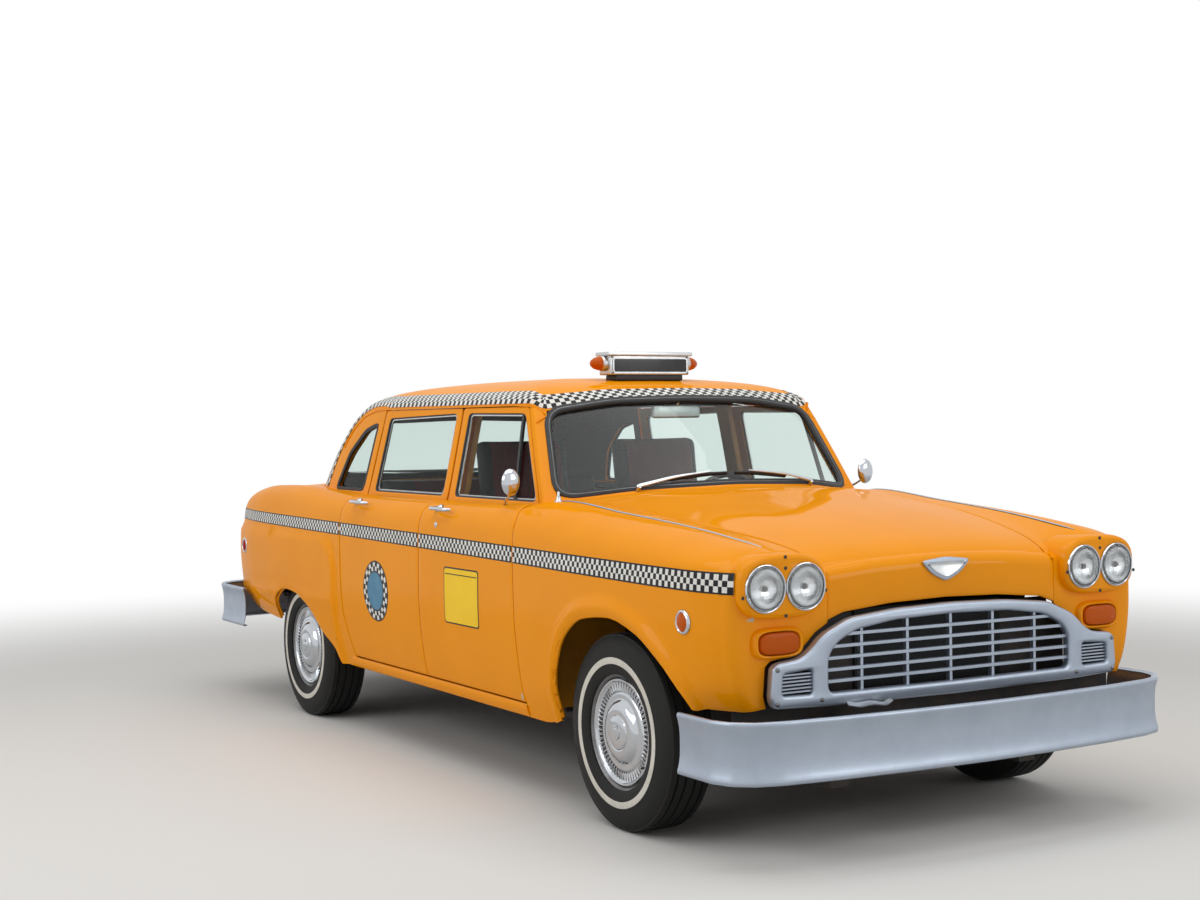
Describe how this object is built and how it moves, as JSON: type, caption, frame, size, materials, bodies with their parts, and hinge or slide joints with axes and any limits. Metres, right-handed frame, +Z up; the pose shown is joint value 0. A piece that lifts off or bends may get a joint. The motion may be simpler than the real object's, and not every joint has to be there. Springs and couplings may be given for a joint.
{
  "type": "taxi cab",
  "caption": "Four-door taxi cab with long curved wings, an arched grille, wide bumpers, paired round headlamps in pods, a roof sign and opening doors and lids.",
  "frame": {"origin": "on the ground, on the centreline, half way along the car between the bumpers' faces", "axes": "+X forward, +Y to the car's left (driver's side), +Z up"},
  "size_m": [5.2, 1.95, 1.7379],
  "materials": {
    "body_paint": "gloss yellow-orange paint, a little worn",
    "clear_glass": "clear safety glass, faintly green",
    "silver_metal": "satin silver",
    "lamp_glass": "fluted clear glass over a bright reflector",
    "amber_lens": "ribbed amber plastic",
    "red_lens": "ribbed red plastic",
    "sign_aluminium": "satin sheet aluminium",
    "chassis_black": "semi-gloss black",
    "floor_mat": "ribbed black rubber over steel",
    "seat_vinyl": "grained dark red and black vinyl",
    "dash_plastic": "grained black",
    "engine_iron": "as cast",
    "plain_steel": "plain dull steel",
    "tyre_rubber": "black with a white band",
    "wheel_cover": "bright pressed metal"
  },
  "bodies": {
    "body": {"cabin_shell": "body_paint", "firewall": "body_paint", "rear_bulkhead": "body_paint", "side_frame_left": "body_paint", "side_frame_right": "body_paint", "inner_apron_left": "body_paint", "inner_apron_right": "body_paint", "tail_panel": "body_paint", "front_fender_left": "body_paint", "front_fender_right": "body_paint", "quarter_panel_left": "body_paint", "quarter_panel_right": "body_paint", "windscreen": "clear_glass", "back_window": "clear_glass", "quarter_glass": "clear_glass", "grille": "silver_metal", "front_bumper": "silver_metal", "rear_bumper": "silver_metal", "headlamps": "lamp_glass", "amber_lamps": "amber_lens", "red_lamps": "red_lens", "roof_sign": "sign_aluminium", "chassis_frame": "chassis_black", "control_arms": "chassis_black", "rear_axle": "chassis_black", "leaf_springs": "chassis_black", "floor_pan": "floor_mat", "rear_floor": "floor_mat", "front_seat": "seat_vinyl", "rear_seat": "seat_vinyl", "dashboard": "dash_plastic", "engine_block": "engine_iron", "radiator": "chassis_black", "propeller_shaft": "plain_steel", "fuel_tank": "plain_steel", "exhaust_pipe": "plain_steel"},
    "hood": {"hood": "body_paint"},
    "trunk_lid": {"trunk_lid": "body_paint"},
    "steering_wheel": {"steering_wheel": "dash_plastic"},
    "front_door_left": {"front_door_left": "body_paint", "front_door_glass_left": "clear_glass"},
    "wheel_front_left": {"tyre_front_left": "tyre_rubber", "wheel_front_left": "wheel_cover"},
    "rear_door_left": {"rear_door_left": "body_paint", "rear_door_glass_left": "clear_glass"},
    "wheel_rear_left": {"tyre_rear_left": "tyre_rubber", "wheel_rear_left": "wheel_cover"},
    "knuckle_left": {"knuckle_left": "engine_iron"},
    "front_door_right": {"front_door_right": "body_paint", "front_door_glass_right": "clear_glass"},
    "wheel_front_right": {"tyre_front_right": "tyre_rubber", "wheel_front_right": "wheel_cover"},
    "rear_door_right": {"rear_door_right": "body_paint", "rear_door_glass_right": "clear_glass"},
    "wheel_rear_right": {"tyre_rear_right": "tyre_rubber", "wheel_rear_right": "wheel_cover"},
    "knuckle_right": {"knuckle_right": "engine_iron"}
  },
  "joints": [
    {"name": "front_door_left_hinge", "type": "hinge", "parent": "body", "child": "front_door_left", "pos_m": [1.007, 0.941, 0.7], "axis": [0, 0, -1], "range_deg": [0, 65]},
    {"name": "rear_door_left_hinge", "type": "hinge", "parent": "body", "child": "rear_door_left", "pos_m": [0.1, 0.941, 0.7], "axis": [0, 0, -1], "range_deg": [0, 65]},
    {"name": "steer_left", "type": "hinge", "parent": "body", "child": "knuckle_left", "pos_m": [1.715, 0.7, 0.348], "axis": [0, 0, 1], "range_deg": [-30, 30]},
    {"name": "wheel_front_left_spin", "type": "hinge", "parent": "knuckle_left", "child": "wheel_front_left", "pos_m": [1.715, 0.8185, 0.348], "axis": [0, 1, 0], "continuous": true},
    {"name": "wheel_rear_left_spin", "type": "hinge", "parent": "body", "child": "wheel_rear_left", "pos_m": [-1.333, 0.804, 0.348], "axis": [0, 1, 0], "continuous": true},
    {"name": "front_door_right_hinge", "type": "hinge", "parent": "body", "child": "front_door_right", "pos_m": [1.007, -0.941, 0.7], "axis": [0, 0, 1], "range_deg": [0, 65]},
    {"name": "rear_door_right_hinge", "type": "hinge", "parent": "body", "child": "rear_door_right", "pos_m": [0.1, -0.941, 0.7], "axis": [0, 0, 1], "range_deg": [0, 65]},
    {"name": "steer_right", "type": "hinge", "parent": "body", "child": "knuckle_right", "pos_m": [1.715, -0.7, 0.348], "axis": [0, 0, 1], "range_deg": [-30, 30]},
    {"name": "wheel_front_right_spin", "type": "hinge", "parent": "knuckle_right", "child": "wheel_front_right", "pos_m": [1.715, -0.8185, 0.348], "axis": [0, 1, 0], "continuous": true},
    {"name": "wheel_rear_right_spin", "type": "hinge", "parent": "body", "child": "wheel_rear_right", "pos_m": [-1.333, -0.804, 0.348], "axis": [0, 1, 0], "continuous": true},
    {"name": "hood_hinge", "type": "hinge", "parent": "body", "child": "hood", "pos_m": [1.195, 0, 1.17], "axis": [0, -1, 0], "range_deg": [0, 50]},
    {"name": "trunk_lid_hinge", "type": "hinge", "parent": "body", "child": "trunk_lid", "pos_m": [-1.745, 0, 1.15], "axis": [0, 1, 0], "range_deg": [0, 70]},
    {"name": "steering_wheel_turn", "type": "hinge", "parent": "body", "child": "steering_wheel", "pos_m": [0.43, 0.385, 1.01], "axis": [-0.8988, 0, 0.4384], "range_deg": [-480, 480]}
  ],
  "couplings": [
    {"joint": "steer_right", "follows": "steer_left", "ratio": 1},
    {"joint": "steering_wheel_turn", "follows": "steer_left", "ratio": 16}
  ]
}
